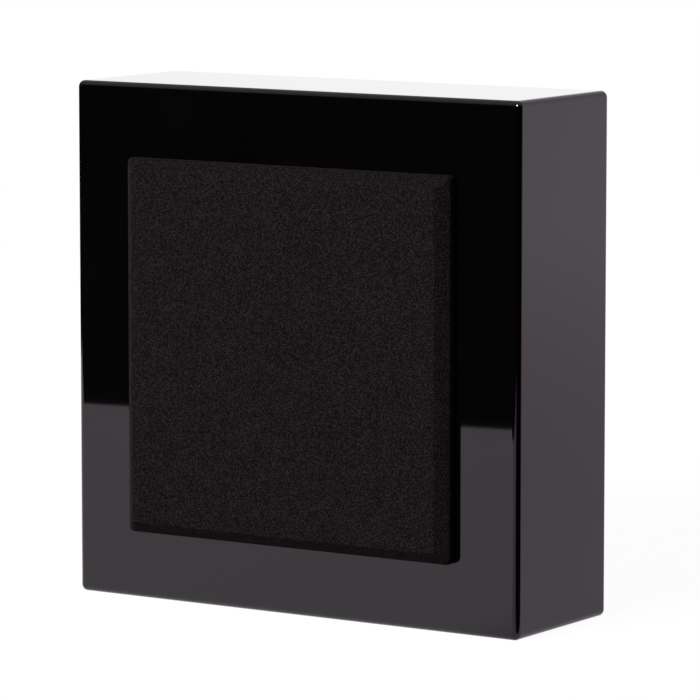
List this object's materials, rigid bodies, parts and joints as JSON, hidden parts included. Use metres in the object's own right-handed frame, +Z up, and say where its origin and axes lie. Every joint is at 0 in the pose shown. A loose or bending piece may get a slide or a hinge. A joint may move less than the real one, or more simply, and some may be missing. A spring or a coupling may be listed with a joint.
{
  "type": "wall speaker",
  "caption": "Square gloss black on-wall speaker: shallow closed cabinet with a bevelled cloth grille that pulls off its pegs, woofer and tweeter behind it, keyhole hangers and screw terminals.",
  "frame": {"origin": "in the wall plane, midway between the entry holes of the keyhole plates", "axes": "+X right seen from the front, +Y into the wall, +Z up"},
  "size_m": [0.22, 0.0812, 0.22],
  "materials": {
    "lacquer": "high gloss black lacquer",
    "rear_board": "matt black paint",
    "foam": "closed-cell foam",
    "wadding": "polyester wadding",
    "black_steel": "blackened screws",
    "basket": "satin black",
    "trim": "satin black",
    "surround": "matt",
    "cone": "coated fibre",
    "former": "plain foil",
    "copper": "enamelled copper wire",
    "spider": "impregnated cloth",
    "steel": "zinc plated",
    "ferrite": "ground ferrite",
    "neodymium": "nickel plated",
    "faceplate": "satin black",
    "silk": "coated silk",
    "grille_board": "black painted fibreboard",
    "cloth": "black acoustic cloth",
    "peg": "black nylon",
    "rubber": "black rubber",
    "hanger": "zinc plated",
    "cup": "fine textured black",
    "gold": "gold plated",
    "cap_red": "clear red",
    "cap_black": "black",
    "circuit_board": "green solder mask",
    "nylon": "natural nylon",
    "bobbin": "black",
    "film_capacitor": "yellow tape wrap",
    "cement": "white cement",
    "fibre": "brown fibre board",
    "tinned": "tinned brass",
    "lead": "insulated wire"
  },
  "bodies": {
    "cabinet": {"cabinet_shell": "lacquer", "rear_panel": "rear_board", "rear_gasket": "foam", "rear_panel_screws": "black_steel", "wadding_left": "wadding", "wadding_right": "wadding", "woofer_basket": "basket", "woofer_screws": "black_steel", "woofer_trim_ring": "trim", "woofer_surround": "surround", "woofer_spider": "spider", "woofer_top_plate": "steel", "woofer_magnet": "ferrite", "woofer_yoke": "steel", "tweeter_faceplate": "faceplate", "tweeter_screws": "black_steel", "tweeter_pole_plate": "steel", "tweeter_magnet": "neodymium", "tweeter_pot": "steel", "peg_cups": "rubber", "keyhole_plate_left": "hanger", "keyhole_plate_right": "hanger", "keyhole_screws": "black_steel", "terminal_cup": "cup", "terminal_screws": "black_steel", "terminal_post_red": "gold", "terminal_post_black": "gold", "terminal_tags": "gold", "terminal_nuts": "steel", "crossover_board": "circuit_board", "crossover_spacers": "nylon", "crossover_screws": "black_steel", "crossover_bobbin": "bobbin", "crossover_winding": "copper", "crossover_capacitor": "film_capacitor", "crossover_resistor": "cement", "woofer_tag_strip": "fibre", "woofer_tags": "tinned", "tweeter_tag_strip": "fibre", "tweeter_tags": "tinned", "terminal_leads": "lead", "woofer_leads": "lead", "tweeter_leads": "lead"},
    "grille": {"grille_board": "grille_board", "grille_cloth": "cloth", "grille_pegs": "peg"},
    "woofer_moving": {"woofer_cone": "cone", "woofer_dust_cap": "cone", "woofer_coil_former": "former", "woofer_voice_coil": "copper"},
    "tweeter_moving": {"tweeter_dome": "silk", "tweeter_voice_coil": "copper"},
    "clamp_red": {"terminal_ring_red": "gold"},
    "knob_red": {"terminal_cap_red": "cap_red"},
    "clamp_black": {"terminal_ring_black": "gold"},
    "knob_black": {"terminal_cap_black": "cap_black"}
  },
  "joints": [
    {"name": "grille_pull", "type": "slide", "parent": "cabinet", "child": "grille", "axis": [0, -1, 0], "range_m": [0, 0.06]},
    {"name": "cone_travel", "type": "slide", "parent": "cabinet", "child": "woofer_moving", "axis": [0, -1, 0], "range_m": [-0.0025, 0.0025], "stiffness_N_per_m": 1200, "deforming": ["woofer_surround", "woofer_spider"]},
    {"name": "dome_travel", "type": "slide", "parent": "cabinet", "child": "tweeter_moving", "axis": [0, -1, 0], "range_m": [-0.0003, 0.0003], "stiffness_N_per_m": 3000, "deforming": ["tweeter_dome"]},
    {"name": "red_clamp_slide", "type": "slide", "parent": "cabinet", "child": "clamp_red", "axis": [0, 1, 0], "range_m": [0, 0.005]},
    {"name": "red_knob_turn", "type": "hinge", "parent": "clamp_red", "child": "knob_red", "pos_m": [0.0425, -0.0145, -0.111], "axis": [0, 1, 0], "range_deg": [0, 1800]},
    {"name": "black_clamp_slide", "type": "slide", "parent": "cabinet", "child": "clamp_black", "axis": [0, 1, 0], "range_m": [0, 0.005]},
    {"name": "black_knob_turn", "type": "hinge", "parent": "clamp_black", "child": "knob_black", "pos_m": [0.0615, -0.0145, -0.111], "axis": [0, 1, 0], "range_deg": [0, 1800]}
  ],
  "couplings": [
    {"joint": "red_knob_turn", "follows": "red_clamp_slide", "rad_per_m": 6283.2},
    {"joint": "black_knob_turn", "follows": "black_clamp_slide", "rad_per_m": 6283.2}
  ]
}
